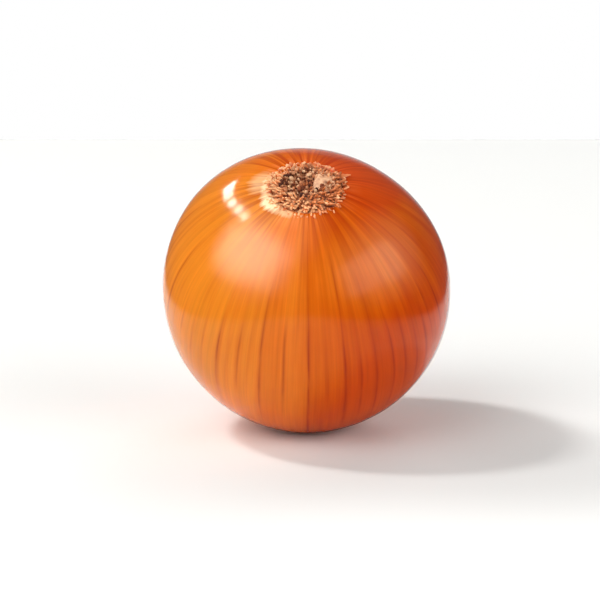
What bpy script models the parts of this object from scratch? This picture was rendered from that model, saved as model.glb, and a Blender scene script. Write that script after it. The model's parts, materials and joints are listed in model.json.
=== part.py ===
"""A whole globe onion, resting as such an onion does: root end up, leaning forward on its trimmed neck.

Metres, +Z up. The origin is the middle of the small flat that the bulb rests on.
The bulb is drawn in its own frame first: its middle at the origin, +Z along its axis to the roots,
-Y the side that ends up in front. An empty then leans it forward and lifts it onto the surface.

Two nodes: bulb, in its dry skin with the trimmed neck that the skin draws in to, and root_plate,
the corky disc of dried root ends that sits in a shallow seat at the bulb's top.
"""

import math
import random

import bmesh
import bpy
from mathutils import Vector

# The bulb
BULB_RADIUS = 0.0400
ROOT_END = 0.0390  # middle of the bulb to where its outline would meet the axis, at the roots
NECK_END = 0.0398  # the same, at the neck
LEAN = math.radians(33)
REST_DEPTH = 0.0005  # how far the resting side is flattened

# The neck: the round outline runs in to it over a short hollow curve. Heights are from the bulb's middle
SHOULDER_ANGLE = math.radians(23)  # from the axis, where that curve starts
NECK_RADIUS = 0.0062
NECK_START = 0.0424
NECK_TIP_RADIUS = 0.0056
NECK_TIP = 0.0438
NECK_CUT_HOLLOW = 0.0010

# The root plate is a raised ring round a hollow middle, in a shallow seat
SEAT_RADIUS = 0.0098
SEAT_FLOOR = 0.0360
GAP = 0.0003  # between the plate and its seat
PLATE_RADIUS = SEAT_RADIUS - GAP
PLATE_BOTTOM = SEAT_FLOOR + GAP
PLATE_EDGE_TOP = 0.0375
RING_RADIUS = 0.0062
RING_TOP = 0.0387
HOLLOW_TOP = 0.0374

# Dried root ends, in circles on the plate: how many, how far out, how far they lean outwards, how long
ROOT_CIRCLES = (
    (24, 0.0087, math.radians(66), 0.0025),
    (18, 0.0070, math.radians(44), 0.0023),
    (12, 0.0052, math.radians(12), 0.0017),
)
ROOT_RADIUS = 0.00048
ROOT_TIP_SHARE = 0.55  # tip radius over base radius
ROOT_SINK = 0.0006  # how deep a root end starts in the plate
ROOT_STEPS = 4
SEED = 11

# Low swells (+) and flats (-) that keep the bulb from being a perfect ball:
# direction in the bulb's own frame, half-width and height
SWELLS = (
    (Vector((-0.66, 0.53, 0.53)), math.radians(32), 0.0009),
    (Vector((0.53, 0.59, 0.60)), math.radians(36), -0.0007),
    (Vector((-0.75, -0.10, -0.65)), math.radians(34), -0.0004),
)

TURN_STEPS = 72
OUTLINE_STEPS = 30
FLARE_STEPS = 6
PLATE_STEPS = 10
WELD = 0.00001


def clear_scene():
    for old in list(bpy.data.objects):
        bpy.data.objects.remove(old, do_unlink=True)


def new_collection(name):
    collection = bpy.data.collections.new(name)
    bpy.context.scene.collection.children.link(collection)
    return collection


def material(name, colour, roughness):
    made = bpy.data.materials.new(name)
    made.use_nodes = True
    shader = made.node_tree.nodes["Principled BSDF"]
    shader.inputs["Base Color"].default_value = (*colour, 1)
    shader.inputs["Roughness"].default_value = roughness
    shader.inputs["Metallic"].default_value = 0
    made.diffuse_color = (*colour, 1)
    return made


def turned(name, outline, collection):
    """Turns an outline of (distance from the axis, height), top to bottom, into a mesh object."""
    profile = bpy.data.meshes.new(name + "_outline")
    points = [(r, 0, z) for r, z in outline]
    edges = [(i, i + 1) for i in range(len(points) - 1)]
    profile.from_pydata(points, edges, [])
    made = bpy.data.objects.new(name, profile)
    collection.objects.link(made)
    screw = made.modifiers.new("Turn", "SCREW")
    screw.steps = screw.render_steps = TURN_STEPS
    screw.use_merge_vertices = True
    screw.merge_threshold = WELD
    return as_mesh(made)


def as_mesh(obj):
    """Replaces an object by a mesh of what it shows, with doubled points welded."""
    name, collection = obj.name, obj.users_collection[0]
    bpy.context.view_layer.update()
    graph = bpy.context.evaluated_depsgraph_get()
    mesh = bpy.data.meshes.new_from_object(obj.evaluated_get(graph))
    place = obj.matrix_world.copy()
    bpy.data.objects.remove(obj, do_unlink=True)
    shape = bmesh.new()
    shape.from_mesh(mesh)
    bmesh.ops.remove_doubles(shape, verts=shape.verts, dist=WELD)
    shape.to_mesh(mesh)
    shape.free()
    made = bpy.data.objects.new(name, mesh)
    made.matrix_world = place
    collection.objects.link(made)
    return made


def bulb_outline():
    """Seat for the roots, round body, hollow curve in to the neck, and the neck's cut end."""
    rim_angle = math.asin(SEAT_RADIUS / BULB_RADIUS)
    outline = [(0, SEAT_FLOOR), (SEAT_RADIUS, SEAT_FLOOR)]
    for i in range(OUTLINE_STEPS + 1):
        angle = rim_angle + (math.pi - SHOULDER_ANGLE - rim_angle) * i / OUTLINE_STEPS
        end = ROOT_END if angle < math.pi / 2 else NECK_END
        outline.append((BULB_RADIUS * math.sin(angle), end * math.cos(angle)))

    start = Vector(outline[-1])
    slope = math.tan(SHOULDER_ANGLE) * NECK_END / BULB_RADIUS
    bend = Vector((NECK_RADIUS, start.y - slope * (start.x - NECK_RADIUS)))
    neck = Vector((NECK_RADIUS, -NECK_START))
    for i in range(1, FLARE_STEPS + 1):
        t = i / FLARE_STEPS
        outline.append(tuple(start * (1 - t) ** 2 + bend * 2 * t * (1 - t) + neck * t**2))
    outline.append((NECK_TIP_RADIUS, -NECK_TIP))
    outline.append((0, NECK_CUT_HOLLOW - NECK_TIP))
    return outline


def swelled(point):
    """A point of the round body, moved out or in by the swells it lies on. The two ends stay round."""
    way = point.normalized()
    fade = max(0.0, 1 - abs(way.z) ** 6)
    moved = point.copy()
    for direction, width, height in SWELLS:
        apart = way.angle(direction)
        moved += way * height * fade * math.exp(-((apart / width) ** 2))
    return moved


def build_bulb(collection, skin):
    bulb = turned("bulb", bulb_outline(), collection)
    for vertex in bulb.data.vertices:
        if vertex.co.xy.length > SEAT_RADIUS + WELD:
            vertex.co = swelled(vertex.co)
    bulb.data.materials.append(skin)
    bulb.data.shade_smooth()
    bulb.data.set_sharp_from_angle(angle=math.radians(40))
    return bulb


def plate_height(radius):
    """The top of the plate at a distance from the axis: up from the hollow to the ring, down to the edge."""
    if radius < RING_RADIUS:
        rise = (1 - math.cos(math.pi * radius / RING_RADIUS)) / 2
        return HOLLOW_TOP + (RING_TOP - HOLLOW_TOP) * rise
    across = (radius - RING_RADIUS) / (PLATE_RADIUS - RING_RADIUS)
    return PLATE_EDGE_TOP + (RING_TOP - PLATE_EDGE_TOP) * math.cos(math.pi / 2 * across)


def plate_outline():
    top = [PLATE_RADIUS * i / PLATE_STEPS for i in range(PLATE_STEPS + 1)]
    return [(r, plate_height(r)) for r in top] + [
        (PLATE_RADIUS, PLATE_BOTTOM + GAP),
        (PLATE_RADIUS - GAP, PLATE_BOTTOM),
        (0, PLATE_BOTTOM),
    ]


def root_end(name, azimuth, distance, lean, length, collection):
    """One dried root end: a tapered stalk that rises from the plate and bends outwards."""
    curve = bpy.data.curves.new(name, "CURVE")
    curve.dimensions = "3D"
    curve.bevel_depth = ROOT_RADIUS
    curve.bevel_resolution = 1
    curve.use_fill_caps = True
    spline = curve.splines.new("POLY")
    spline.points.add(ROOT_STEPS)
    outward = Vector((math.cos(azimuth), math.sin(azimuth), 0))
    at = outward * distance + Vector((0, 0, plate_height(distance) - ROOT_SINK))
    step = (length + ROOT_SINK) / ROOT_STEPS
    for i, point in enumerate(spline.points):
        share = i / ROOT_STEPS
        point.co = (*at, 1)
        point.radius = 1 + (ROOT_TIP_SHARE - 1) * share
        bent = lean * min(1.0, 0.35 + share)
        at = at + (outward * math.sin(bent) + Vector((0, 0, math.cos(bent)))) * step
    made = bpy.data.objects.new(name, curve)
    collection.objects.link(made)
    return as_mesh(made)


def build_root_plate(collection, helpers, cork):
    plate = turned("root_plate", plate_outline(), collection)
    draw = random.Random(SEED)
    for circle, (count, distance, lean, length) in enumerate(ROOT_CIRCLES):
        for i in range(count):
            azimuth = (i + 0.5 * circle + draw.uniform(-0.16, 0.16)) * 2 * math.pi / count
            root_end(
                f"root_end_{circle}_{i}",
                azimuth,
                distance + draw.uniform(-0.0003, 0.0003),
                lean * draw.uniform(0.8, 1.15),
                length * draw.uniform(0.7, 1.15),
                helpers,
            )
    join = plate.modifiers.new("Roots", "BOOLEAN")
    join.operation = "UNION"
    join.operand_type = "COLLECTION"
    join.collection = helpers
    plate.data.materials.append(cork)
    plate.data.shade_smooth()
    plate.data.set_sharp_from_angle(angle=math.radians(40))
    return as_mesh(plate)


def flatten_resting_side(bulb, helpers):
    """Cuts the bulb level with the surface that it rests on, where it and the neck's edge press on it."""
    bpy.ops.mesh.primitive_cube_add(size=0.1, location=(0, 0, -0.05))
    surface = bpy.context.object
    surface.name = "surface_cutter"
    for collection in list(surface.users_collection):
        collection.objects.unlink(surface)
    helpers.objects.link(surface)
    surface.hide_render = True
    surface.display_type = "WIRE"
    cut = bulb.modifiers.new("Flat", "BOOLEAN")
    cut.operation = "DIFFERENCE"
    cut.object = surface


def main():
    clear_scene()
    onion = new_collection("onion")
    root_ends = new_collection("root_ends")
    cutters = new_collection("cutters")
    skin = material("dry_onion_skin", (0.78, 0.30, 0.055), 0.28)
    cork = material("dried_root_cork", (0.42, 0.27, 0.16), 0.85)

    bulb = build_bulb(onion, skin)
    root_plate = build_root_plate(onion, root_ends, cork)
    for stalk in list(root_ends.objects):
        bpy.data.objects.remove(stalk, do_unlink=True)

    stance = bpy.data.objects.new("stance", None)
    onion.objects.link(stance)
    stance.location = (0, 0, BULB_RADIUS - REST_DEPTH)
    stance.rotation_euler = (LEAN, 0, 0)
    for part in (bulb, root_plate):
        part.parent = stance
    flatten_resting_side(bulb, cutters)


main()
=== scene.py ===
# A whole yellow globe onion, root end up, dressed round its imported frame.
# The bulb's own frame has its middle at zero and +Z towards the roots; standUp leans it into place.
import random
from functools import partial
from math import asin, cos, pi, radians, sin, sqrt, tan

import bpy
from mathutils import Matrix, Vector
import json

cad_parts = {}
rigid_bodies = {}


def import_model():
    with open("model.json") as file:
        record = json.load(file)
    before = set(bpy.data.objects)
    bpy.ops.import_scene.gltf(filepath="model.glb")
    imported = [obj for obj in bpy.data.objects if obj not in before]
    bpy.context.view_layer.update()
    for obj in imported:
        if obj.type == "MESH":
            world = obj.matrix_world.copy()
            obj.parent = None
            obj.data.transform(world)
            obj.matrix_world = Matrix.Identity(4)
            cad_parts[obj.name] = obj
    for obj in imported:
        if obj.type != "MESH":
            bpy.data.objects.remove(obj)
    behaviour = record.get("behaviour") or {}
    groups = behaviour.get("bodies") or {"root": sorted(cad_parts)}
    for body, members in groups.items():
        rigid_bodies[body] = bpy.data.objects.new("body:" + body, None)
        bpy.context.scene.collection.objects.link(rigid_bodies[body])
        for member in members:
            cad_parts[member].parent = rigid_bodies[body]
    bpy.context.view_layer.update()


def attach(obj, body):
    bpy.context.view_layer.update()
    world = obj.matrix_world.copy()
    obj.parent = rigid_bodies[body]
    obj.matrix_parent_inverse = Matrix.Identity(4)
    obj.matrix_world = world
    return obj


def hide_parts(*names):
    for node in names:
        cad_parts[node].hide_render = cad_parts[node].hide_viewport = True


for leftOver in list(bpy.data.objects):
    bpy.data.objects.remove(leftOver, do_unlink=True)
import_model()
mm = 0.001

bulb = dict(
    radius=40.0 * mm,
    rootEnd=39.0 * mm,  # middle to where the round outline would meet the axis, at the roots
    neckEnd=39.8 * mm,
    lean=radians(33),  # the root end leans to the front
    restDepth=0.5 * mm,  # how far the resting side is pressed flat
    seatRadius=9.8 * mm,  # the root plate's seat
    seatFloor=36.0 * mm,
    neckFrom=radians(157),  # angle from the root axis where the skin starts to draw in to the neck
    neckTo=radians(172),
    neckRise=4.4 * mm,
    neckTip=42.6 * mm,  # the skin closes here, inside the cut ends of its layers
)
bulb["middle"] = bulb["radius"] - bulb["restDepth"]
standUp = Matrix.Translation((0, 0, bulb["middle"])) @ Matrix.Rotation(bulb["lean"], 4, "X")


# Nodes

def addNode(tree, kind, inputs=(), points=(), **settings):
    # adds any node. kind is its type without the family's prefix, and then its mode if it has one; in
    # capitals it is what a Math node does. inputs, in order or by name, are linked or given their value; a
    # MapRange's are the value, from, to, and what those two become. points are a colour ramp's
    # (place, hex colour) or a float curve's (x, y)
    kind, _, mode = ("Math " + kind if kind.isupper() else kind).partition(" ")
    family = "GeometryNode" if tree.type == "GEOMETRY" else "ShaderNode"
    names = (family + kind, "ShaderNode" + kind, "FunctionNode" + kind, kind)
    node = tree.nodes.new(next(name for name in names if hasattr(bpy.types, name)))
    if mode:
        choices = ("operation", "interpolation_type", "data_type", "input_type", "rotation_type")
        setattr(node, next(choice for choice in choices if hasattr(node, choice)), mode)
    for name, value in settings.items():
        setattr(node, name, value)
    sockets = [socket for socket in node.inputs if socket.enabled]
    for key, value in inputs.items() if isinstance(inputs, dict) else enumerate(inputs):
        socket = sockets[key] if isinstance(key, int) else next(s for s in sockets if s.name == key)
        if isinstance(value, bpy.types.Node):
            value = next(s for s in value.outputs if s.enabled)
        if isinstance(value, bpy.types.NodeSocket):
            tree.links.new(value, socket)
        else:
            socket.default_value = value
    if points and kind == "ValToRGB":
        while len(node.color_ramp.elements) < len(points):
            node.color_ramp.elements.new(0.5)
        for element, (place, code) in zip(node.color_ramp.elements, points):
            element.position = place
            element.color = linear(code)
    elif points:
        curve = node.mapping.curves[0]
        while len(curve.points) < len(points):
            curve.points.new(0.5, 0.5)
        for point, (x, y) in zip(curve.points, points):
            point.location = (x, y)
            point.handle_type = "VECTOR"
        node.mapping.use_clip = False
        node.mapping.update()
    return node


def linear(code):
    # an sRGB hex colour as the linear colour that shaders take
    parts = [int(code[i : i + 2], 16) / 255 for i in (0, 2, 4)]
    return [*(c / 12.92 if c <= 0.04045 else ((c + 0.055) / 1.055) ** 2.4 for c in parts), 1.0]


def newObject(name, data):
    made = bpy.data.objects.new(name, data)
    bpy.context.scene.collection.objects.link(made)
    return made


def grow(name, shape, sizes, material, thickness=0.0):
    # builds a geometry tree with one named input for each size, in which shape draws the piece, then runs
    # it once and keeps its result as a plain mesh. what is drawn as a sheet is given its thickness
    sizes = dict(sizes, material=material)
    tree = bpy.data.node_groups.new(name + "Shape", "GeometryNodeTree")
    kinds = {bpy.types.Object: "Object", bpy.types.Material: "Material", int: "Int"}
    for label, value in sizes.items():
        kind = kinds.get(type(value), "Float")
        tree.interface.new_socket(label, in_out="INPUT", socket_type="NodeSocket" + kind)
    tree.interface.new_socket("Mesh", in_out="OUTPUT", socket_type="NodeSocketGeometry")
    add = partial(addNode, tree)
    size = add("NodeGroupInput").outputs
    smooth = add("SetShadeSmooth", [add("RealizeInstances", [shape(add, size)])])
    add("NodeGroupOutput", [add("SetMaterial", {"Geometry": smooth, "Material": size["material"]})])

    holder = newObject(name + "Holder", bpy.data.meshes.new(name + "Holder"))
    nodes = holder.modifiers.new("grow", "NODES")
    nodes.node_group = tree
    for item in tree.interface.items_tree:
        if item.in_out == "INPUT":
            nodes[item.identifier] = sizes[item.name]
    if thickness:
        wall = holder.modifiers.new("wall", "SOLIDIFY")
        wall.thickness, wall.offset = thickness, 0
    bpy.context.view_layer.update()
    graph = bpy.context.evaluated_depsgraph_get()
    mesh = bpy.data.meshes.new_from_object(holder.evaluated_get(graph))
    bpy.data.objects.remove(holder, do_unlink=True)
    mesh.name = name
    triangles = sum(len(face.vertices) - 2 for face in mesh.polygons)
    print("grown", name, len(mesh.vertices), "points", triangles, "triangles")
    return newObject(name, mesh)


def ownNodes(holder):
    # a material, light or world, with its nodes emptied, and what adds to them
    holder.use_nodes = True
    holder.node_tree.nodes.clear()
    return holder, partial(addNode, holder.node_tree)


def lifted(add, place, height):
    return add("VectorMath ADD", [place, add("CombineXYZ", {"Z": height})])


def gridPlace(add):
    # where a point is on a unit grid: across it, from -0.5 to 0.5, and along it, from 0 to 1
    spot = add("SeparateXYZ", [add("InputPosition")])
    return spot.outputs["X"], add("ADD", [spot.outputs["Y"], 0.5])


def welded(add, mesh, position):
    # puts a mesh in place and closes its seams
    mesh = add("SetPosition", {"Geometry": mesh, "Position": position})
    return add("MergeByDistance", {"Geometry": mesh, "Distance": 0.001 * mm})


def stretched(add, place, scales, **look):
    # noise that is drawn out along the skin's fibres
    drawnOut = add("VectorMath MULTIPLY", [place, scales])
    return add("TexNoise", {"Vector": drawnOut, "Scale": 1, "Detail": 2, **look})


def dryMatter(name, ramp, looks, tone=False, reach=0.0, grain=None, detail=3, share=0.3, bump=()):
    # matte plant matter: its colour follows each piece's own tone, the way along the piece, and mottling in
    # grains of a real size, which may also be felt: bump is its strength and height
    made, add = ownNodes(bpy.data.materials.new(name))
    if grain:
        place = add("TexCoord").outputs["Object"]
        mottle = add("TexNoise", {"Vector": place, "Scale": 1 / grain, "Detail": detail})
    shade = add("Attribute", attribute_name="tone").outputs["Fac"] if tone else mottle
    if reach:
        along = add("Attribute", attribute_name="reach").outputs["Fac"]
        shade = add("MULTIPLY_ADD", [along, reach, shade])
    if tone and grain:
        shade = add("MULTIPLY_ADD", [mottle, share, shade])
    looks = {"Base Color": add("ValToRGB", [shade], ramp), "IOR": 1.4, **looks}
    if bump:
        looks["Normal"] = add("Bump", {"Height": mottle, "Strength": bump[0], "Distance": bump[1]})
    add("OutputMaterial", [add("BsdfPrincipled", looks)])
    return made


# Skin

skinLook = dict(
    golden="d87b1d", amber="d56a15", orange="cb5b07", russet="c34c02", copper="be4103",
    vein="982604", cream="f8dfb2", peach="ec955c", rust="a62a02", emberAndBounce="de5c16", straw="c48a4c",
    sheen="fff0d8",  # the film's own colour tints what it mirrors
    roughness=0.115,
    # the first two pale patches are bleached skin; those at 166 and 174 degrees are partly bleached skin
    # and partly painted glare on the wrinkles at the left
    bleachAndGlare=[  # degrees round the axis and from the roots, half-width and half-depth in degrees, strength
        (-151, 16.2, 22, 3.0, 1.0), (-125, 15.5, 14, 2.0, 0.45), (166, 18.5, 20, 5, 0.35),
        (174, 15.5, 26, 3, 0.8),
    ],
    # some zones stand in for light: those at -56 and -13 degrees make the skin more golden under the
    # right-hand highlight, a painted part of that highlight's colour, and the one at -48 degrees makes the
    # bottom right redder and darker, partly as painted shade under the bulb
    zones=[  # where it is redder (+) or more golden (-) than that side is: degrees round, degrees from the
        # roots, half-width in degrees, shift
        (60, 24, 34, 0.14), (22, 24, 22, 0.25), (-165, 21, 20, -0.3), (-56, 44, 23, -0.18),
        (-13, 54, 34, -0.22), (-48, 114, 52, 0.26), (-150, 82, 26, -0.1), (-179, 94, 22, 0.35),
    ],
    fibreWidth=0.5 * mm,
)


def bulbWay(azimuth, polar):
    # the direction of a place on the leaning bulb, from degrees round its axis and degrees from its roots
    a, p = radians(azimuth), radians(polar)
    return standUp.to_3x3() @ Vector((sin(p) * cos(a), sin(p) * sin(a), cos(p)))


def drySkin():
    # dry onion skin: a thin waxy film, glossy, golden on one side and copper on the other, partly its own
    # colour and partly painted light and shade, which the eye reads by its fine lengthwise fibres, its
    # darker veins and the pale patch beside the roots, partly bleached skin and partly painted glare
    made, add = ownNodes(bpy.data.materials.new("drySkin"))
    place = add("TexCoord").outputs["Object"]
    grain = add("Attribute", attribute_name="grain").outputs["Vector"]
    vein, tint = [add("Attribute", attribute_name=name).outputs["Fac"] for name in ("vein", "tint")]
    along = add("SeparateXYZ", [grain]).outputs["Z"]  # 0 at the roots, 1 at the neck

    # broad colour from side to side, shifted from band to band between the veins; the change from golden at
    # the left to copper at the right is partly the skin's own colour and partly painted light and shade,
    # lighter on the left where the light comes from
    patches = add("TexNoise", {"Vector": place, "Scale": 26, "Detail": 4, "Roughness": 0.6})
    side = add("SeparateXYZ", [place])
    across = add("MULTIPLY_ADD", [side, 0.5 / bulb["radius"], 0.33])
    across = add("MULTIPLY_ADD", [patches, 0.34, across])
    across = add("MULTIPLY_ADD", [tint, 0.05, across])
    streaks = stretched(add, grain, (18, 18, 2.5))
    across = add("SUBTRACT", [add("MULTIPLY_ADD", [streaks, 0.3, across]), 0.15])
    way = add("VectorMath NORMALIZE", [add("VectorMath ADD", [place, (0, 0, -bulb["middle"])])])
    for azimuth, polar, reach, shift in skinLook["zones"]:
        near = add("VectorMath DOT_PRODUCT", [way, bulbWay(azimuth, polar)])
        near = add("MapRange SMOOTHSTEP", [near, cos(radians(reach)), 1, 0, shift])
        across = add("ADD", [near, across])
    colour = add("ValToRGB", [across], [
        (0.16, skinLook["golden"]), (0.40, skinLook["amber"]), (0.53, skinLook["orange"]),
        (0.67, skinLook["russet"]), (0.82, skinLook["copper"]),
    ])

    # redder under the bulb's widest part: partly the skin's own colour and partly painted light, the warm
    # light that the floor throws back up
    under = add("MapRange", [along, 0.52, 0.72, 0, 0.5])
    colour = add("Mix RGBA", [under, colour, linear(skinLook["emberAndBounce"])])

    # fine fibres, and coarser streaks that fade
    fine = bulb["radius"] / skinLook["fibreWidth"]
    fibres = stretched(add, grain, (fine, fine, 7), Detail=3, Roughness=0.6)
    fibreLight = add("MapRange", [fibres, 0.3, 0.7, 0.93, 1.06])
    streakLight = add("MapRange", [streaks, 0.3, 0.7, 1.07, 0.92])
    light = add("MULTIPLY", [fibreLight, streakLight])

    # streaks run out from the roots, lighter and darker, and strongest behind: partly the skin's own
    # streaks and partly painted light and shade of the wrinkles there. between them are rust-red grooves,
    # partly the skin's own red and partly painted shade in the creases, and peach lines, painted light on
    # the ridges, stronger on the left where the light comes from. the last skins by the neck are straw
    rays = stretched(add, grain, (14, 14, 2.8))
    nearRoots = add("MapRange", [along, 0.1, 0.23, 1, 0])
    behind = add("MapRange", [side.outputs["Y"], -14 * mm, 4 * mm, 0.5, 1.0])
    rayed = add("MULTIPLY", [behind, nearRoots])
    rayLight = add("Mix", [rayed, 1.0, add("MapRange", [rays, 0.38, 0.6, 1.16, 0.8])])
    light = add("MULTIPLY", [light, rayLight])
    colour = add("HueSaturation", {"Value": light, "Color": colour})
    grooveRedAndShade = add("MULTIPLY", [add("MapRange", [rays, 0.5, 0.62]), rayed])
    colour = add("Mix RGBA", [grooveRedAndShade, colour, linear(skinLook["rust"])])
    collar = add("MapRange", [along, 0.08, 0.125, 1, 0])
    lit = add("MULTIPLY", [add("MapRange", [rays, 0.52, 0.4]), collar])
    # painted light: the peach lines are stronger on the left side, where the light comes from
    litSide = add("MapRange", [side, 3 * mm, -6 * mm, 0.12, 0.42])
    lit = add("MULTIPLY", [lit, litSide])
    colour = add("Mix RGBA", [lit, colour, linear(skinLook["peach"])])
    neck = add("MapRange", [add("MULTIPLY_ADD", [rays, 0.16, along]), 0.95, 1.04, 0, 0.9])
    colour = add("Mix RGBA", [neck, colour, linear(skinLook["straw"])])

    # pale patches beside the roots, with edges that are ragged along the fibres: the first two are bleached
    # skin, the two at the left are partly bleached skin and partly painted glare, the highlight of the
    # light on the wrinkles there
    bleachAndGlare = 0.0
    for azimuth, polar, wide, deep, strength in skinLook["bleachAndGlare"]:
        middle = (cos(radians(azimuth)), sin(radians(azimuth)), 0)
        ring = add("VectorMath MULTIPLY", [grain, (1, 1, 0)])
        aside = add("VectorMath DISTANCE", [ring, middle])
        aside = add("MULTIPLY", [aside, 1 / radians(wide)])
        below = add("MULTIPLY_ADD", [along, 180 / deep, -polar / deep])
        apart = add("VectorMath LENGTH", [add("CombineXYZ", [aside, below])])
        apart = add("MULTIPLY_ADD", [rays, 1.3, apart])
        paled = add("MapRange", [apart, 1.9, 1.2, 0, strength])
        bleachAndGlare = add("MAXIMUM", [paled, bleachAndGlare])
    colour = add("Mix RGBA", [bleachAndGlare, colour, linear(skinLook["cream"])])

    # veins
    lower = add("MapRange", [along, 0.25, 0.4, 0.5, 1.0])
    broken = add("MapRange", [stretched(add, grain, (30, 30, 10)), 0.38, 0.58, 0.45, 1])
    darkened = add("MULTIPLY", [add("MULTIPLY", [vein, lower]), broken])
    colour = add("Mix RGBA", [darkened, colour, linear(skinLook["vein"])])

    dry = add("FloatCurve", {"Value": along}, [
        (0, 0.28), (0.07, 0.26), (0.15, 0.13), (0.2, skinLook["roughness"]), (0.84, skinLook["roughness"]),
        (0.92, 0.45), (1, 0.5),
    ])
    bump = add("Bump", {"Height": fibres, "Strength": 0.07, "Distance": 0.04 * mm})
    add("OutputMaterial", [add("BsdfPrincipled", {
        "Base Color": colour, "Roughness": dry, "Normal": bump, "IOR": 1.35,
        "Specular Tint": linear(skinLook["sheen"]), "Subsurface Weight": 0.12,
        "Subsurface Radius": (1.0, 0.35, 0.12), "Subsurface Scale": 2 * mm,
    })])
    return made


veinPlan = dict(
    width=1.0 * mm,
    ridge=0.006 * mm,
    ridgeWidth=0.9 * mm,
    fadeIn=0.3,  # radians over which one starts, and over which it ends
    fadeOut=0.4,
    flatness=0.8,  # how flat the skin is drawn between two veins at the ends of the bulb: 1 would be flat
    seed=7,
    # the ones in front: degrees round the axis, start and end in degrees from the roots, strength, and
    # how the band after it is shifted, from golden at -1 to copper at 1
    front=[
        (-178, 30, 95, 0.3, 0), (-171, 50, 100, 0.3, -0.6), (-163, 40, 98, 0.8, 0),
        (-156, 50, 100, 0.25, 0.5), (-149, 60, 96, 0.5, -0.6), (-142, 62, 105, 0.5, 0.3),
        (-135.5, 52, 100, 0.6, -0.5), (-127.5, 56, 108, 0.9, 0.6), (-118.5, 58, 100, 0.75, -0.4),
        (-109, 34, 118, 0.85, 0.5), (-99.5, 50, 112, 0.75, -1.0), (-94, 22, 70, 0.35, -0.8),
        (-89.5, 18, 136, 1.0, 0.35), (-82, 70, 105, 0.35, 0.2), (-75, 26, 122, 1.0, 0.4),
        (-68.5, 66, 114, 0.8, 0.3), (-62, 36, 118, 0.95, 0.5), (-54.5, 58, 120, 0.95, 0.3),
        (-48.5, 56, 108, 0.8, -0.4), (-42, 60, 112, 0.75, 0.5), (-36, 56, 104, 0.9, -0.2),
        (-31.5, 50, 92, 1.0, 0.6), (-24, 44, 96, 1.0, -0.5), (-17, 46, 90, 0.9, 0.3),
    ],
)


def veinGuides(stepsAround):
    # one point on the unit circle for each vein, on a column of the skin's mesh so that each line is clean;
    # each knows the bands of skin before and after it, going round: how wide, and how the colour is shifted
    draw = random.Random(veinPlan["seed"])
    plan = list(veinPlan["front"])
    azimuth = plan[-1][0]
    while azimuth < 176:
        azimuth += draw.uniform(4.5, 8.5)
        strength = draw.choice((0.15, 0.3, 0.5, 0.8))
        plan.append((
            azimuth, draw.uniform(18, 60), draw.uniform(95, 135), strength, draw.uniform(-0.6, 0.6),
        ))
    turns = [round(row[0] / 360 * stepsAround) / stepsAround * 2 * pi for row in plan]
    gaps = [(turns[(i + 1) % len(turns)] - turn) % (2 * pi) for i, turn in enumerate(turns)]
    tints = [row[4] for row in plan]
    columns = dict(
        start=[radians(row[1]) for row in plan], end=[radians(row[2]) for row in plan],
        strength=[row[3] for row in plan],
        gapAfter=gaps, gapBefore=gaps[-1:] + gaps[:-1], tintAfter=tints, tintBefore=tints[-1:] + tints[:-1])
    mesh = bpy.data.meshes.new("veinGuides")
    mesh.from_pydata([(cos(turn), sin(turn), 0) for turn in turns], [], [])
    for name, values in columns.items():
        mesh.attributes.new(name, "FLOAT", "POINT").data.foreach_set("value", values)
    return newObject("veinGuides", mesh)


swells = [  # low swells and flats: direction in the bulb's frame, half-width, height
    ((-0.66, 0.53, 0.53), radians(32), 0.9 * mm),
    ((0.53, 0.59, 0.60), radians(36), -0.7 * mm),
    ((-0.75, -0.10, -0.65), radians(34), -0.4 * mm),
]

skinSizes = dict(
    {name: value for name, value in bulb.items() if name not in ("restDepth", "seatRadius")},
    stepsAround=840, stepsAlong=112, seatAngle=asin(bulb["seatRadius"] / bulb["radius"]),
    veinWidth=veinPlan["width"], ridgeHeight=veinPlan["ridge"], flatness=veinPlan["flatness"],
    creaseHeight=0.18 * mm, wander=0.02, dentHeight=0.3 * mm,
)


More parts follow.
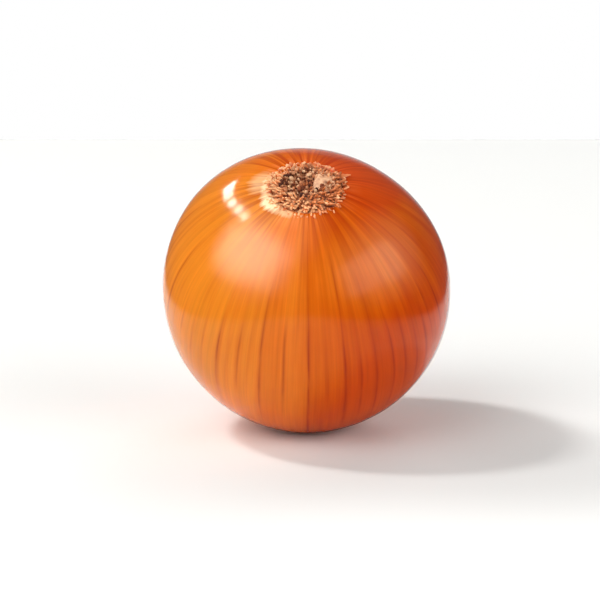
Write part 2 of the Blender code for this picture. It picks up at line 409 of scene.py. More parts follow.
def skinShape(add, size):
    # a grid, turned round the axis: across is the turn, along is the angle from the roots
    around = add("ADD", [size["stepsAround"], 1])
    grid = add("MeshGrid", [1, 1, around, add("ADD", [size["stepsAlong"], 1])])
    across, share = gridPlace(add)
    turn = add("MULTIPLY_ADD", [across, 2 * pi, pi])
    seat = skinSizes["seatAngle"] / pi
    polarShare = add("FloatCurve", {"Value": share}, [
        (0, 0), (0.03, seat - 0.001), (0.04, seat + 0.001), (0.82, skinSizes["neckFrom"] / pi), (1, 1),
    ])
    polar = add("MULTIPLY", [polarShare, pi])

    # where on the unit circle, before the lines wander a little and after
    ring = add("CombineXYZ", [add("COSINE", [turn]), add("SINE", [turn])])
    onSkin = lifted(add, ring, polar)
    drift = add("TexNoise", {"Vector": onSkin, "Scale": 1.4, "Detail": 1})
    drift = add("SUBTRACT", [drift, 0.5])
    azimuth = add("MULTIPLY_ADD", [drift, size["wander"], turn])

    # round body
    sine = add("SINE", [polar])
    cosine = add("COSINE", [polar])
    wayX = add("MULTIPLY", [sine, add("COSINE", [azimuth])])
    wayY = add("MULTIPLY", [sine, add("SINE", [azimuth])])
    way = add("CombineXYZ", [wayX, wayY, cosine])
    drawIn = add("POWER", [add("MapRange", [polar, size["neckFrom"], size["neckTo"]]), 4.5])
    neckEnd = add("MULTIPLY_ADD", [drawIn, size["neckRise"], size["neckEnd"]])
    end = add("Switch FLOAT", [add("Compare LESS_THAN", [cosine, 0.0]), size["rootEnd"], neckEnd])
    stretch = add("CombineXYZ", [size["radius"], size["radius"], end])
    body = add("VectorMath MULTIPLY", [way, stretch])

    # the nearest vein, how far away it is over the skin, and the band of skin on this side of it
    guides = add("ObjectInfo", [size["veins"]]).outputs["Geometry"]
    nearest = add("SampleNearest", [guides, ring])
    veinSpot = add("SampleIndex FLOAT_VECTOR", [guides, add("InputPosition"), nearest])
    apart = add("VectorMath DISTANCE", [ring, veinSpot])
    crossed = add("VectorMath CROSS_PRODUCT", [veinSpot, ring])
    after = add("Compare GREATER_THAN", [add("SeparateXYZ", [crossed]).outputs["Z"], 0.0])
    level = {}
    for name in ("start", "end", "strength", "gapBefore", "gapAfter", "tintBefore", "tintAfter"):
        level[name] = add("SampleIndex", [guides, add("InputNamedAttribute", [name]), nearest])
    band = add("Switch FLOAT", [after, level["gapBefore"], level["gapAfter"]])
    tint = add("Switch FLOAT", [after, level["tintBefore"], level["tintAfter"]])
    reach = add("MULTIPLY", [sine, size["radius"]])
    gap = add("MULTIPLY", [apart, reach])
    line = add("MapRange", [gap, 0, size["veinWidth"], 1, 0])
    line = add("POWER", [line, 2.2])  # a dark middle with a soft edge
    fadeIn = add("ADD", [level["start"], veinPlan["fadeIn"]])
    fadeOut = add("SUBTRACT", [level["end"], veinPlan["fadeOut"]])
    begun = add("MapRange SMOOTHSTEP", [polar, level["start"], fadeIn])
    ended = add("MapRange SMOOTHSTEP", [polar, fadeOut, level["end"], 1, 0])
    shown = add("MULTIPLY", [add("MULTIPLY", [begun, ended]), level["strength"]])
    vein = add("MULTIPLY", [shown, line])

    # relief: the skin is drawn flatter between two veins, most at both ends, and each vein is a low ridge
    flatter = add("FloatCurve", {"Value": polarShare}, [
        (0, 0), (0.15, 0.05), (0.2, 0.08), (0.36, 0.1), (0.7, 0.12), (0.82, 0.5), (0.9, 0.2), (1, 0),
    ])
    chord = add("MULTIPLY", [add("SUBTRACT", [band, apart]), apart])
    chord = add("MULTIPLY", [add("MULTIPLY", [chord, reach]), size["flatness"]])
    chord = add("MULTIPLY", [chord, flatter])
    ridge = add("MapRange SMOOTHSTEP", [gap, 0, veinPlan["ridgeWidth"], size["ridgeHeight"], 0])
    ridge = add("MULTIPLY", [ridge, shown])
    relief = add("MULTIPLY_ADD", [chord, -0.5, ridge])

    # creases at both ends, and shallow dents and swells that keep it from being a ball
    crease = stretched(add, onSkin, (11, 11, 1.2))
    atEnds = add("FloatCurve", {"Value": polarShare}, [
        (0, 0), (seat, 0), (seat + 0.002, 0.3), (0.1, 0.18), (0.14, 0.05), (0.2, 0.02), (0.75, 0.05),
        (0.86, 0.5), (0.93, 1), (0.97, 0.8), (1, 0),
    ])
    creases = add("MULTIPLY", [add("SUBTRACT", [crease, 0.5]), atEnds])
    relief = add("MULTIPLY_ADD", [creases, size["creaseHeight"], relief])
    onBody = add("FloatCurve", {"Value": polarShare}, [
        (0, 0), (0.08, 0), (0.16, 1), (0.8, 1), (0.9, 0.2), (1, 0),
    ])
    dents = add("SUBTRACT", [add("TexNoise", {"Vector": way, "Scale": 2.6, "Detail": 1}), 0.5])
    swelling = add("MULTIPLY", [dents, size["dentHeight"]])
    for direction, width, height in swells:
        toward = add("VectorMath DOT_PRODUCT", [way, Vector(direction).normalized()])
        angle = add("ARCCOSINE", [toward])
        power = add("MULTIPLY", [add("MULTIPLY", [angle, angle]), -1 / width**2])
        bell = add("EXPONENT", [power])
        swelling = add("MULTIPLY_ADD", [bell, height, swelling])
    relief = add("MULTIPLY_ADD", [swelling, onBody, relief])
    body = add("VectorMath ADD", [body, add("VectorMath SCALE", [way, relief])])

    # the seat, the neck's cut end, then into place, pressed flat where it rests
    inSeat = add("Compare LESS_THAN", [polar, size["seatAngle"]])
    parts = add("SeparateXYZ", [body])
    height = add("MAXIMUM", [parts.outputs["Z"], add("MULTIPLY", [size["neckTip"], -1])])
    height = add("Switch FLOAT", [inSeat, height, size["seatFloor"]])
    whole = add("CombineXYZ", [parts.outputs["X"], parts.outputs["Y"], height])
    leant = add("VectorRotate X_AXIS", {"Vector": whole, "Angle": size["lean"]})
    flat = add("VectorMath MAXIMUM", [lifted(add, leant, size["middle"]), (-1, -1, 0)])

    grain = add("VectorMath MULTIPLY", [onSkin, (1, 1, 1 / pi)])
    mesh = add("StoreNamedAttribute FLOAT_VECTOR", {"Geometry": grid, "Name": "grain", "Value": grain})
    mesh, _ = keep(add, mesh, {"vein": vein, "tint": tint})
    return add("FlipFaces", [welded(add, mesh, flat)])


def makeSkin():
    guides = veinGuides(skinSizes["stepsAround"])
    skin = grow("bulbSkin", skinShape, dict(skinSizes, veins=guides), drySkin())
    bpy.data.objects.remove(guides, do_unlink=True)
    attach(skin, "root")
    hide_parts("bulb")


# Root plate

plate = dict(
    radius=9.5 * mm,
    bottom=36.3 * mm,
    edgeTop=37.4 * mm,
    top=38.5 * mm,
    shoulder=6.0 * mm,  # from here out the top falls to the edge
    hollow=(-1.1 * mm, 1.4 * mm, 0),  # the middle of the hollow, which is a little off centre
    hollowRadius=5.6 * mm,
    hollowDepth=2.1 * mm,
    rough=0.5 * mm,
    lump=1.4 * mm,
)


def plateHeight(add, position):
    # the top of the plate over a place on it: a plateau that falls to the edge, with a hollow
    flat = add("VectorMath MULTIPLY", [position, (1, 1, 0)])
    out = add("VectorMath LENGTH", [flat])
    ends = [plate[name] for name in ("shoulder", "radius", "top", "edgeTop")]
    fall = add("MapRange SMOOTHSTEP", [out, *ends])
    inward = add("VectorMath DISTANCE", [flat, plate["hollow"]])
    dip = add("MapRange SMOOTHSTEP", [
        inward, 0.35 * plate["hollowRadius"], plate["hollowRadius"], plate["hollowDepth"], 0,
    ])
    return add("SUBTRACT", [fall, dip])


def drawEach(add, index, seed, rows):
    # one random value for each point and each row of (name, low, high)
    draws = {}
    for step, (name, low, high) in enumerate(rows):
        ownSeed = add("ADD", [seed, step * 100])
        draws[name] = add("RandomValue", [float(low), float(high), index, ownSeed])
    return draws


def keep(add, mesh, kept):
    # stores values on points or a mesh, and gives the nodes that read them back
    for name, value in kept.items():
        mesh = add("StoreNamedAttribute", {"Geometry": mesh, "Name": name, "Value": value})
    return mesh, {name: add("InputNamedAttribute", [name]) for name in kept}


def roundPlace(add, turn, out):
    # a flat place from a turn round the axis and a distance from it
    x = add("MULTIPLY", [add("COSINE", [turn]), out])
    y = add("MULTIPLY", [add("SINE", [turn]), out])
    return add("CombineXYZ", [x, y])


def arcPlace(add, own, reach):
    # how far out and up an arc of a given lean, bend and length has come at a share of its length
    tipward = add("MULTIPLY_ADD", [own["bend"], reach, own["lean"]])
    swing = add("DIVIDE", [own["length"], own["bend"]])
    way = {}
    for kind in ("COSINE", "SINE"):
        gone = add("SUBTRACT", [add(kind, [tipward]), add(kind, [own["lean"]])])
        way[kind] = add("MULTIPLY", [gone, swing])
    return add("MULTIPLY", [way["COSINE"], -1]), way["SINE"]


def heldBend(add, lean, bend, most):
    # a bend that is never nothing, and never turns the tip back into what it lies on
    held = add("MINIMUM", [bend, add("SUBTRACT", [most, lean])])
    return add("MAXIMUM", [held, 0.05])


def shaken(add, mesh, grain, far):
    # roughens a mesh: each point moves by up to half of far, in lumps of a given grain
    place = add("InputPosition")
    noise = add("TexNoise", {"Vector": place, "Scale": 1 / grain, "Detail": 1}).outputs["Color"]
    noise = add("VectorMath SCALE", [add("VectorMath ADD", [noise, (-0.5, -0.5, -0.5)]), far])
    return add("SetPosition", {"Geometry": mesh, "Offset": noise})


def rootCork():
    # the stub of the stem that roots grow from, dried to a matte crumbly cork: brown and mauve grains
    # of about a millimetre, darkest deep in the hollow, where dirt and shadow gather
    made, add = ownNodes(bpy.data.materials.new("rootCork"))
    place = add("TexCoord").outputs["Object"]
    grains = add("TexVoronoi", {"Vector": place, "Scale": 1 / (1.1 * mm)})
    speck = add("SeparateColor", [grains.outputs["Color"]])
    fine = add("TexNoise", {"Vector": place, "Scale": 1 / (0.7 * mm), "Detail": 3})
    speck = add("MULTIPLY", [speck, 0.4])
    mixed = add("MULTIPLY_ADD", [fine, 0.6, speck])
    colour = add("ValToRGB", [mixed], [
        (0.3, "4c200e"), (0.45, "824526"), (0.58, "a8704a"), (0.72, "c28e66"),
    ])
    bump = add("Bump", {"Height": fine, "Strength": 0.7, "Distance": 0.25 * mm})
    add("OutputMaterial", [add("BsdfPrincipled", {
        "Base Color": colour, "Roughness": 0.85, "Normal": bump, "IOR": 1.4, "Specular IOR Level": 0.2,
    })])
    return made


def plateShape(add, size):
    # a closed disc: a grid turned round the axis, over the top, down the edge and back along the bottom
    grid = add("MeshGrid", [1, 1, size["stepsAround"], size["stepsAlong"]])
    across, share = gridPlace(add)
    turn = add("MULTIPLY", [across, 2 * pi])
    outShare = add("FloatCurve", {"Value": share}, [(0, 0), (0.8, 1), (0.9, 1), (1, 0)])
    flat = roundPlace(add, turn, add("MULTIPLY", [outShare, plate["radius"]]))
    lumps = add("TexNoise", {"Vector": flat, "Scale": 1 / plate["lump"], "Detail": 3})
    lumps = add("SUBTRACT", [lumps, 0.5])
    top = add("MULTIPLY_ADD", [lumps, plate["rough"] * 2, plateHeight(add, flat)])
    height = add("Switch FLOAT", [add("Compare LESS_THAN", [share, 0.85]), plate["bottom"], top])
    return add("FlipFaces", [welded(add, grid, lifted(add, flat, height))])


# Root ends: each row of sizes is a group of them, spread over a part of the plate

rootSizes = dict(
    # the rim: short thick stubs that lie outwards over the edge of the skin
    rimRoots=dict(
        count=150, firstTurn=radians(-210), turnSpan=radians(245), innerRadius=8.0 * mm,
        outerRadius=9.4 * mm, innerLean=0.85, outerLean=1.2, bend=0.35, length=2.1 * mm,
        thickness=0.27 * mm, darkest=0.35, lightest=0.85, seed=3,
    ),
    # the fringe inside it: stubs that lean less
    fringeRoots=dict(
        count=135, firstTurn=radians(-210), turnSpan=radians(245), innerRadius=5.2 * mm,
        outerRadius=8.1 * mm, innerLean=0.35, outerLean=0.9, bend=0.4, length=1.9 * mm,
        thickness=0.29 * mm, darkest=0.18, lightest=0.78, seed=4,
    ),
    # at the back they are shorter and stand up
    backRoots=dict(
        count=110, firstTurn=radians(30), turnSpan=radians(120), innerRadius=5.0 * mm,
        outerRadius=9.2 * mm, innerLean=-0.1, outerLean=0.7, bend=0.5, length=1.15 * mm,
        thickness=0.3 * mm, darkest=0.2, lightest=0.6, seed=6,
    ),
    # shorter, broken stubs inside the hollow, which point every way
    hollowRoots=dict(
        count=40, firstTurn=0.0, turnSpan=2 * pi, innerRadius=0.2 * mm, outerRadius=5.0 * mm,
        innerLean=-0.4, outerLean=-0.2, bend=0.9, length=1.2 * mm, thickness=0.34 * mm, darkest=0.05,
        lightest=0.6, seed=8,
    ),
    # a few darker ones that curl over at the right
    curledRoots=dict(
        count=14, firstTurn=radians(-38), turnSpan=radians(58), innerRadius=7.0 * mm, outerRadius=9.6 * mm,
        innerLean=0.0, outerLean=0.5, bend=1.5, length=2.6 * mm, thickness=0.34 * mm, darkest=0.22,
        lightest=0.4, seed=5,
    ),
)
rootGrowth = dict(
    sink=0.5 * mm,  # how deep they start in the plate
    crowding=0.8,  # under 1 they crowd towards the outside
    # painted light: the roots are made palest on the side the light comes from
    litTurn=radians(-160),  # the side where they are palest
    paler=0.2,  # how much paler than halfway round
    mostBent=1.75,  # how far a tip may turn from upright
)
rootColours = dict(
    dark="642c14", maroon="86401f", mauve="bd6b3c", tan="d98045", peach="ec9862", cream="f6bd88",
)


def driedRoot():
    # dried root ends, trimmed: thin brittle stalks, matte, from peach to mauve brown, paler to the tip and
    # darker at the foot, which is painted shade where they crowd together;
    # the eye reads them one by one because each has its own tone and a dark foot
    places = (0.12, 0.32, 0.5, 0.66, 0.84, 1.0)
    return dryMatter(
        "driedRoot", list(zip(places, rootColours.values())), {"Roughness": 0.6, "Specular IOR Level": 0.2},
        tone=True, reach=0.2, grain=0.8 * mm, detail=2, bump=(0.5, 0.1 * mm))


def rootsShape(add, size):
    # points spread like a sunflower's seeds between the hollow and the plate's edge, and on each a short
    # line that is bent outwards along an arc and then given its thickness
    index = add("InputIndex")
    share = add("POWER", [add("DIVIDE", [index, size["count"]]), rootGrowth["crowding"]])
    draws = drawEach(add, index, size["seed"], [
        ("turn", -0.09, 0.09), ("lean", -0.3, 0.25), ("bend", 0.4, 1.5), ("length", 0.5, 1.35),
        ("thickness", 0.7, 1.35), ("tone", 0, 1), ("twist", -0.5, 0.5)])
    golden = add("FRACT", [add("MULTIPLY", [index, (sqrt(5) - 1) / 2])])
    turn = add("MULTIPLY_ADD", [golden, size["turnSpan"], size["firstTurn"]])
    turn = add("ADD", [turn, draws["turn"]])
    level = {}
    for name in ("Radius", "Lean"):
        level[name] = add("Mix", [share, size["inner" + name], size["outer" + name]])
    middle = add("Mix VECTOR", [share, plate["hollow"], (0, 0, 0)])
    foot = add("VectorMath ADD", [roundPlace(add, turn, level["Radius"]), middle])
    foot = lifted(add, foot, add("SUBTRACT", [plateHeight(add, foot), rootGrowth["sink"]]))
    points = add("Points", [size["count"], foot])
    lean = add("ADD", [level["Lean"], draws["lean"]])
    bend = add("MULTIPLY", [size["bend"], draws["bend"]])
    # they are palest at the front left, the side the light comes from, and darkest at the right: painted
    # light and shade
    fromLitTurn = add("ADD", [turn, -rootGrowth["litTurn"]])
    paler = add("MULTIPLY_ADD", [add("COSINE", [fromLitTurn]), rootGrowth["paler"], 0.05])
    tone = add("Mix", [draws["tone"], size["darkest"], size["lightest"]])
    points, own = keep(add, points, {
        "turn": turn,
        "lean": lean,
        "bend": heldBend(add, lean, bend, rootGrowth["mostBent"]),
        "length": add("MULTIPLY", [size["length"], draws["length"]]),
        "thickness": add("MULTIPLY", [size["thickness"], draws["thickness"]]),
        "tone": add("ADD", [tone, paler]),
        "twist": draws["twist"],
    })
    line = add("CurvePrimitiveLine", [(0, 0, 0), (0, 0, 1 * mm)])
    line = add("ResampleCurve", {"Curve": line, "Count": 6})
    lines = add("RealizeInstances", [add("InstanceOnPoints", {"Points": points, "Instance": line})])
    reach = add("SplineParameter").outputs["Factor"]
    lines = add("StoreNamedAttribute", {"Geometry": lines, "Name": "reach", "Value": reach})
    out, rise = arcPlace(add, own, reach)
    heading = add("MULTIPLY_ADD", [own["twist"], reach, own["turn"]])
    straight = add("MULTIPLY_ADD", [reach, -1 * mm, rise])
    along = lifted(add, roundPlace(add, heading, out), straight)
    lines = add("SetPosition", {"Geometry": lines, "Offset": along})
    taper = add("FloatCurve", {"Value": reach}, [(0, 1.1), (0.5, 0.9), (0.85, 0.85), (1, 0.6)])
    thick = add("MULTIPLY", [own["thickness"], taper])
    profile = add("CurvePrimitiveCircle", {"Resolution": 7, "Radius": 1}).outputs["Curve"]
    mesh = add("CurveToMesh", {"Curve": lines, "Profile Curve": profile, "Scale": thick, "Fill Caps": True})
    return shaken(add, mesh, 0.7 * mm, 0.32 * mm)


# Crumbs

crumbSizes = dict(
    # broken root and soil caught in the hollow
    hollowCrumbs=dict(
        count=330, middleX=-1.1 * mm, middleY=1.8 * mm, spread=6.2 * mm, smallest=0.32 * mm,
        largest=0.85 * mm, pile=0.8 * mm, darkest=0.0, lightest=0.9, seed=21,
    ),
    # paler, finer grains round the old scar at the right
    scarCrumbs=dict(
        count=300, middleX=5.6 * mm, middleY=2.2 * mm, spread=4.0 * mm, smallest=0.2 * mm,
        largest=0.5 * mm, pile=1.1 * mm, darkest=0.3, lightest=0.85, seed=27,
    ),
    # and tan ones along the rim at the back
    backCrumbs=dict(
        count=260, middleX=-0.6 * mm, middleY=6.2 * mm, spread=3.9 * mm, smallest=0.2 * mm,
        largest=0.5 * mm, pile=0.8 * mm, darkest=0.35, lightest=0.8, seed=33,
    ),
)


def crumb():
    # crumbs of root and soil: small, matte, and each its own brown, mauve or cream
    ramp = [(0.0, "341406"), (0.25, "7c3c20"), (0.5, "ac6840"), (0.75, "cd946c"), (0.95, "ecc59a")]
    return dryMatter("rootCrumb", ramp, {"Roughness": 0.8, "Specular IOR Level": 0.2}, tone=True)


def crumbsShape(add, size):
    # small lumps scattered in a disc over the plate, each squashed and turned its own way
    index = add("InputIndex")
    draws = drawEach(add, index, size["seed"], [
        ("turn", 0, 2 * pi), ("out", 0, 1), ("pile", -0.5, 1), ("tone", 0, 1), ("size", 0, 1)])
    out = add("MULTIPLY", [add("POWER", [draws["out"], 0.5]), size["spread"]])
    middle = add("CombineXYZ", [size["middleX"], size["middleY"]])
    flat = add("VectorMath ADD", [roundPlace(add, draws["turn"], out), middle])
    height = add("MULTIPLY_ADD", [draws["pile"], size["pile"], plateHeight(add, flat)])
    points = add("Points", [size["count"], lifted(add, flat, height)])
    tone = add("Mix", [draws["tone"], size["darkest"], size["lightest"]])
    points = add("StoreNamedAttribute", {"Geometry": points, "Name": "tone", "Value": tone})
    ball = add("MeshUVSphere", [6, 4, 1])
    turned = add("RandomValue FLOAT_VECTOR", [(0, 0, 0), (6.28, 6.28, 6.28), index, 5])
    squashed = add("RandomValue FLOAT_VECTOR", [(0.6, 0.6, 0.4), (1.3, 1.0, 1.0), index, 6])
    across = add("Mix", [add("POWER", [draws["size"], 2]), size["smallest"], size["largest"]])
    scale = add("VectorMath SCALE", [squashed, across])
    mesh = add("InstanceOnPoints", {
        "Points": points, "Instance": ball.outputs["Mesh"], "Rotation": turned, "Scale": scale,
    })
    mesh = add("RealizeInstances", [mesh])
    return shaken(add, mesh, 0.5 * mm, 0.4 * mm)


# The old scar: a smooth pale callus beside the hollow

scarSizes = dict(
    rootScar=dict(
        middleX=4.6 * mm, middleY=1.4 * mm, middleZ=38.2 * mm, halfWidth=2.8 * mm, halfLength=4.4 * mm,
        halfHeight=1.4 * mm,
    ),
)


def callus():
    # healed tissue, dried: smooth, pale greyish beige and matte, with fine grains at its edge
    ramp = [(0.32, "a4704f"), (0.5, "cf9a72"), (0.68, "e2b48a")]
    return dryMatter("driedCallus", ramp, {"Roughness": 0.7}, grain=1.6 * mm, bump=(0.5, 0.15 * mm))


def scarShape(add, size):
    # a stretched ball with broad and fine lumps
    ball = add("MeshIcoSphere", [1, 5])
    half = add("CombineXYZ", [size["halfWidth"], size["halfLength"], size["halfHeight"]])
    middle = add("CombineXYZ", [size["middleX"], size["middleY"], size["middleZ"]])
    placed = add("VectorMath MULTIPLY_ADD", [add("InputPosition"), half, middle])
    mesh = add("SetPosition", {"Geometry": ball, "Position": placed})
    mesh = shaken(add, mesh, 3 * mm, 2.2 * mm)
    return shaken(add, mesh, 0.7 * mm, 0.35 * mm)


# Torn skin round the plate

flakeSizes = dict(
    # scallops stand up behind the plate
    backFlakes=dict(
        count=46, firstTurn=radians(15), turnSpan=radians(165), ringRadius=9.9 * mm, lift=0.0, lean=0.9,
        bend=0.6, length=1.15 * mm, width=1.3 * mm, blunt=2.4, seed=31,
    ),
    # narrow strips lie on the skin in front and at the sides
    collarFlakes=dict(
        count=30, firstTurn=radians(-190), turnSpan=radians(215), ringRadius=9.6 * mm, lift=0.0, lean=1.4,
        bend=0.3, length=1.5 * mm, width=1.1 * mm, blunt=1.5, seed=37,
    ),
    # one long pointed piece has lifted at the right
    liftedFlake=dict(
        count=1, firstTurn=radians(29), turnSpan=0.0, ringRadius=9.0 * mm, lift=0.0, lean=1.3, bend=0.3,
        length=4.2 * mm, width=3.4 * mm, blunt=1.2, seed=43,
    ),
)
flakeLook = dict(
    thickness=0.08 * mm,
    sink=0.25 * mm,  # how deep they start in the skin
    tip=0.08,  # how wide they still are at the tip, of the width at the foot
    mostBent=1.85,
)


def tornSkin():
    # the dry skin where it has torn round the roots: thin as paper, matte, peach, redder at its foot
    ramp = [(0.15, "8e3a10"), (0.4, "bc5c2a"), (0.65, "d88350"), (0.95, "f3c08c")]
    looks = {
        "Roughness": 0.5, "Subsurface Weight": 0.2, "Subsurface Radius": (1.0, 0.4, 0.2),
        "Subsurface Scale": 0.6 * mm,
    }
    return dryMatter("tornSkin", ramp, looks, tone=True, reach=0.45, grain=1 * mm, detail=2)


def flakesShape(add, size):
    # strips that start in the skin at the edge of the seat and bend outwards, narrower to the tip
    index = add("InputIndex")
    draws = drawEach(add, index, size["seed"], [
        ("turn", -0.06, 0.06), ("lean", -0.25, 0.25), ("bend", 0.5, 1.5), ("length", 0.6, 1.2),
        ("width", 0.7, 1.3), ("tone", 0, 0.45), ("ring", -0.3 * mm, 0.3 * mm), ("cup", -0.1, 0.5)])
    turn = add("DIVIDE", [index, size["count"]])
    turn = add("MULTIPLY_ADD", [turn, size["turnSpan"], size["firstTurn"]])
    points = add("Points", [size["count"]])
    lean = add("ADD", [size["lean"], draws["lean"]])
    bend = add("MULTIPLY", [size["bend"], draws["bend"]])
    points, own = keep(add, points, {
        "turn": add("ADD", [turn, draws["turn"]]),
        "ring": add("ADD", [size["ringRadius"], draws["ring"]]),
        "lean": lean,
        "bend": heldBend(add, lean, bend, flakeLook["mostBent"]),
        "length": add("MULTIPLY", [size["length"], draws["length"]]),
        "width": add("MULTIPLY", [size["width"], draws["width"]]),
        "tone": draws["tone"],
        "cup": draws["cup"],
    })
    grid = add("MeshGrid", [1, 1, 5, 7])
    strips = add("RealizeInstances", [add("InstanceOnPoints", {"Points": points, "Instance": grid})])
    across, reach = gridPlace(add)
    strips, spot = keep(add, strips, {"reach": reach, "across": across})
    out, rise = arcPlace(add, own, spot["reach"])
    gone = add("POWER", [spot["reach"], size["blunt"]])
    narrow = add("MapRange", [gone, 0, 1, 1, flakeLook["tip"]])
    side = add("MULTIPLY", [add("MULTIPLY", [spot["across"], own["width"]]), narrow])
    lift = add("MULTIPLY", [add("MULTIPLY", [side, side]), own["cup"]])
    lift = add("MULTIPLY", [lift, 1 / mm])
    far = add("ADD", [own["ring"], out])
    squared = add("MULTIPLY", [own["ring"], own["ring"]])
    squared = add("MULTIPLY_ADD", [squared, -(bulb["rootEnd"] / bulb["radius"]) ** 2, bulb["rootEnd"] ** 2])
    foot = add("ADD", [add("SUBTRACT", [add("SQRT", [squared]), flakeLook["sink"]]), size["lift"]])
    height = add("ADD", [add("ADD", [foot, rise]), lift])
    flat = add("CombineXYZ", [far, side, height])
    placed = add("VectorRotate Z_AXIS", {"Vector": flat, "Angle": own["turn"]})
    mesh = add("SetPosition", {"Geometry": strips, "Position": placed})
    return shaken(add, mesh, 1.2 * mm, 0.5 * mm)


def makeRootEnd():
    core = grow("rootPlate", plateShape, dict(stepsAround=181, stepsAlong=61), rootCork())
    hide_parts("root_plate")
    pieces = [core]
    roots, crumbs = (rootsShape, rootSizes, driedRoot), (crumbsShape, crumbSizes, crumb)
    for shape, groups, finish in (roots, crumbs, (scarShape, scarSizes, callus)):
        material = finish()
        pieces += [grow(name, shape, sizes, material) for name, sizes in groups.items()]
    for piece in pieces:
        piece.data.transform(standUp)
        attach(piece, "root")
    torn = tornSkin()
    for name, sizes in flakeSizes.items():
        flakes = grow(name, flakesShape, sizes, torn, flakeLook["thickness"])
        flakes.data.transform(standUp)
        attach(flakes, "root")


# Neck: the skins were cut off here once they had dried, so their ends are rings within rings

neckLayers = dict(
    layers=6, outerRadius=5.9 * mm, innerRadius=0.9 * mm, tip=43.8 * mm, depth=1.9 * mm, wave=0.13,
    jag=0.9 * mm, seed=51,
)
neckStrips = dict(
    count=30, firstTurn=0.0, turnSpan=2 * pi, ringRadius=6.7 * mm, lift=2.6 * mm, lean=-0.35, bend=0.25,
    length=2.5 * mm, width=2.0 * mm, blunt=3.0, seed=57,
)


def neckPaper():
    # the ends of dry onion skins: brittle matte paper, straw to tan, browner deep between the rings, which
    # is painted shade
    ramp = [(0.1, "6b4021"), (0.3, "9c6a38"), (0.5, "c4935a"), (0.68, "dcb780")]
    return dryMatter(
        "driedNeckPaper", ramp, {"Roughness": 0.65}, reach=-0.35, grain=1.2 * mm, bump=(0.4, 0.1 * mm))


def neckShape(add, size):
    # rings within rings, each a wavy band with a jagged edge
    index = add("InputIndex")
    draws = drawEach(add, index, size["seed"], [("phase", 0, 6), ("drop", 0, 0.5 * mm)])
    share = add("DIVIDE", [index, size["layers"]])
    ring = add("Mix", [share, size["outerRadius"], size["innerRadius"]])
    points = add("Points", [size["layers"]])
    points, own = keep(add, points, {"ring": ring, "phase": draws["phase"], "drop": draws["drop"]})
    band = add("MeshGrid", [1, 1, 97, 4])
    bands = add("RealizeInstances", [add("InstanceOnPoints", {"Points": points, "Instance": band})])
    across, reach = gridPlace(add)
    bands, spot = keep(add, bands, {"turn": add("MULTIPLY", [across, 2 * pi]), "reach": reach})
    turn = spot["turn"]
    lean = lifted(add, roundPlace(add, turn, 1.0), own["phase"])
    wave = add("SUBTRACT", [add("TexNoise", {"Vector": lean, "Scale": 1.6, "Detail": 1}), 0.5])
    wave = add("MULTIPLY", [add("MULTIPLY_ADD", [wave, size["wave"], 0.5]), own["ring"]])
    wave = add("MULTIPLY", [wave, 2])
    jag = add("TexNoise", {"Vector": lean, "Scale": 5, "Detail": 2})
    jag = add("MULTIPLY_ADD", [jag, size["jag"], own["drop"]])
    back = add("MULTIPLY_ADD", [spot["reach"], size["depth"], jag])
    height = add("SUBTRACT", [back, size["tip"]])
    return welded(add, bands, lifted(add, roundPlace(add, turn, wave), height))


def makeNeck():
    paper = neckPaper()
    rings = grow("neckLayers", neckShape, neckLayers, paper, 2 * flakeLook["thickness"])
    strips = grow("neckStrips", flakesShape, neckStrips, paper, flakeLook["thickness"])
    strips.data.transform(Matrix.Rotation(pi, 4, "X"))  # they grow for the root end, so turn to the neck
    for piece in (rings, strips):
        piece.data.transform(standUp)
        for point in piece.data.vertices:  # what would reach below the surface is pressed flat on it
            point.co.z = max(point.co.z, 0.02 * mm)
        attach(piece, "root")


# Studio

studio = dict(
    middle=Vector((0, 0, bulb["middle"])),
    distance=0.6,
    elevation=radians(12),
    wide=0.1672,  # how much the view takes in, left to right, at the bulb
    aimLeft=1.85 * mm,  # the view's middle is this far left of the bulb's middle
    aimDown=2.95 * mm,
    room=(0.13, 0.1),  # how bright the room is in front of the bulb and behind it
    wall=(0.93, 0.99, 0.4),  # where the white wall behind starts and is full, and how bright it is mirrored
    floor=(0.6, 0.45),  # how far the floor reaches to the sides and behind, and in front
    white=(0.83, 0.83, 0.81, 1),
    grey=(0.1, 0.1, 0.1, 1),
    # round patches on the floor: how they are squeezed and then shifted, and where each fades from and to.
    # the first is the white sheet, which is longer from front to back and lies farther behind the bulb
    sheet=((1, 0.353, 0), (0, -0.0441, 0), 0.15, 1.3 * 0.15),
    # the floor at the bulb's right foot is mirrored darker, by this much: a painted shadow, seen only in
    # the skin's reflection
    foot=((1, 1, 0), (-24 * mm, 14 * mm, 0), 20 * mm, 60 * mm),
    footShadowDark=0.75,
    # and where the bulb keeps the light off, the floor is a little greyer
    shade=((0.6, 1.2, 0), (-28 * mm, 52 * mm, 0), 12 * mm, 74 * mm),
    shadeDark=0.25,
)


def makeCamera():
    camera = newObject("camera", bpy.data.cameras.new("camera"))
    camera.data.sensor_width = 36
    camera.data.lens = 36 * studio["distance"] / studio["wide"]
    camera.data.clip_start = 0.01
    back = Vector((0, -cos(studio["elevation"]), sin(studio["elevation"])))
    camera.rotation_euler = back.to_track_quat("Z", "Y").to_euler()
    up = camera.rotation_euler.to_matrix() @ Vector((0, 1, 0))
    aim = studio["middle"] - Vector((studio["aimLeft"], 0, 0)) - up * studio["aimDown"]
    camera.location = aim + back * studio["distance"]
    bpy.context.scene.camera = camera


def toward(azimuth, elevation):
    # a direction from degrees round from +X and degrees above the horizon
    a, e = radians(azimuth), radians(elevation)
    return Vector((cos(e) * cos(a), cos(e) * sin(a), sin(e)))


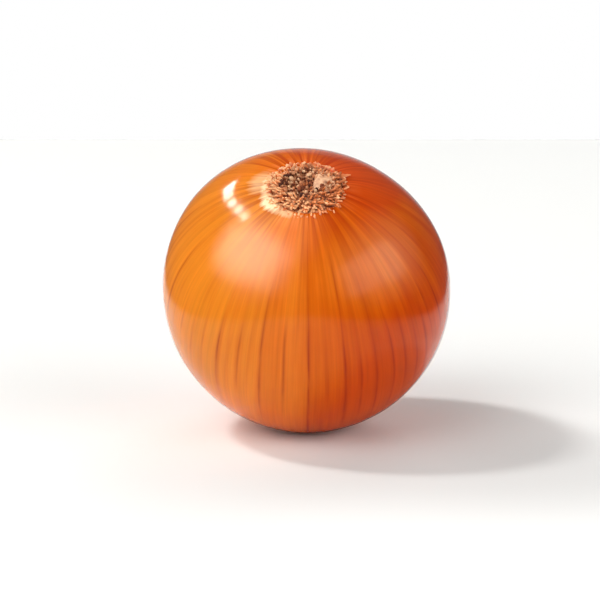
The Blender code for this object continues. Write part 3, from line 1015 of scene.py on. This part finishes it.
# name, the directions of the two ends, breadth in degrees, radiance, softness of the edge, panes
panels = [
    # these are only mirrored in the skin
    ("mirroredPanes", (185, 52.6), (147, 43.6), 4.6, 34.0, 0.1, 3),
    ("mirroredStrip", (146.5, 43.2), (123.5, 33.8), 6.4, 20.0, 0.2, 1),
    ("mirroredLeft", (168, 30), (258, 24), 44, 10.4, 0.8, 1),
    ("mirroredLeftVeil", (172, 38), (272, 26), 84, 3.6, 1.0, 1),
    ("mirroredRight", (294, 15), (366, 24), 28, 2.45, 0.6, 1),
    ("mirroredRightVeil", (292, 18), (394, 18), 50, 1.8, 1.0, 1),
    # and these only light it
    ("keyLight", (164.5, 50), (164.5, 59), 7, 95.0, 0.3, 1),
    ("tailLight", (175, 51), (138, 36), 6, 8.0, 0.5, 1),
    ("backLight", (35, 34), (95, 34), 34, 4.0, 1.0, 1),
    ("leftLight", (172, 24), (270, 24), 60, 4.6, 1.0, 1),
    ("rightLight", (288, 17), (372, 17), 40, 3.9, 0.8, 1),
]
panelDistance = 4.0


def makePanel(name, first, last, breadth, radiance, edge, panes):
    # a rectangular light that reaches from one direction to the other, at a fixed distance, and may be
    # divided along its length into panes, as a window is
    far = panelDistance * (1 if name.startswith("mirrored") else 0.95)  # two lights never lie in one plane
    ends = [studio["middle"] + toward(*way) * far for way in (first, last)]
    middle = (ends[0] + ends[1]) / 2
    facing = (middle - studio["middle"]).normalized()
    along = (ends[1] - ends[0]).normalized()
    side = along.cross(facing).normalized()
    lamp, add = ownNodes(bpy.data.lights.new(name, "AREA"))
    lamp.shape = "RECTANGLE"
    lamp.size = 2 * far * tan(radians(breadth) / 2)
    lamp.size_y = (ends[1] - ends[0]).length
    lamp.energy = radiance * pi * lamp.size * lamp.size_y  # watts that give this radiance
    made = newObject(name, lamp)
    turned = Matrix((side, along, side.cross(along))).transposed().to_4x4()
    made.matrix_world = Matrix.Translation(middle) @ turned
    made.visible_glossy = name.startswith("mirrored")
    made.visible_diffuse = not made.visible_glossy
    spot = add("NewGeometry").outputs["Parametric"]
    size = add("VectorMath ABSOLUTE", [add("VectorMath ADD", [spot, (-0.5, -0.5, 0)])])
    parts = add("SeparateXYZ", [size])
    fades = [add("MapRange SMOOTHSTEP", [parts.outputs[axis], 0.5, 0.5 - edge / 2]) for axis in ("X", "Y")]
    fade = add("MULTIPLY", fades)
    if panes > 1:
        pane = add("MULTIPLY", [add("SeparateXYZ", [spot]).outputs["Y"], panes])
        pane = add("SUBTRACT", [add("FRACT", [pane]), 0.5])
        pane = add("MapRange SMOOTHSTEP", [add("ABSOLUTE", [pane]), 0.4, 0.28])
        fade = add("MULTIPLY", [fade, pane])
    add("OutputLight", [add("Emission", {"Strength": fade})])


def makeRoom():
    world, add = ownNodes(bpy.data.worlds.new("studio"))
    bpy.context.scene.world = world
    path = add("LightPath").outputs
    depth = add("SeparateXYZ", [add("TexCoord").outputs["Generated"]]).outputs["Y"]
    room = add("MapRange", [depth, -1, 1, *studio["room"]])
    # the skin's outermost edge mirrors the white wall behind the bulb
    start, full, bright = studio["wall"]
    wall = add("MapRange", [depth, start, full, 0, bright])
    wall = add("MULTIPLY_ADD", [wall, path["Is Glossy Ray"], room])
    strength = add("Mix", [path["Is Camera Ray"], wall, 1.0])
    add("OutputWorld", [add("Background", [(1, 1, 1, 1), strength])])

    # the floor looks white nearly all over, but lights the bulb and is mirrored in it as a sheet of limited
    # size would be
    half, front = studio["floor"]
    floor = newObject("floor", bpy.data.meshes.new("floor"))
    corners = [(-half, -front, 0), (half, -front, 0), (half, half, 0), (-half, half, 0)]
    floor.data.from_pydata(corners, [], [(0, 1, 2, 3)])
    made, add = ownNodes(bpy.data.materials.new("whiteCard"))
    place = add("TexCoord").outputs["Object"]
    path = add("LightPath").outputs

    def patch(name, kind, strength):
        squeeze, shift, start, end = studio[name]
        out = add("VectorMath LENGTH", [add("VectorMath MULTIPLY_ADD", [place, squeeze, shift])])
        return add(kind, [out, start, end, strength, 0])

    white = add("MAXIMUM", [path["Is Camera Ray"], patch("sheet", "MapRange", 1)])
    dark = add("MULTIPLY", [patch("foot", "MapRange", studio["footShadowDark"]), path["Is Glossy Ray"]])
    white = add("SUBTRACT", [white, dark])
    dark = patch("shade", "MapRange SMOOTHSTEP", studio["shadeDark"])
    white = add("SUBTRACT", [white, add("MULTIPLY", [dark, path["Is Camera Ray"]])])
    tone = add("Mix RGBA", [white, studio["grey"], studio["white"]])
    add("OutputMaterial", [add("BsdfPrincipled", {
        "Base Color": tone, "Roughness": 0.9, "Specular IOR Level": 0.0,
    })])
    floor.data.materials.append(made)


makeCamera()
print("camera set")
makeRoom()
for panel in panels:
    makePanel(*panel)
print("studio set")
makeSkin()
makeRootEnd()
print("root end grown")
makeNeck()
print("neck grown")
bpy.context.scene.view_settings.view_transform = "Standard"

import json
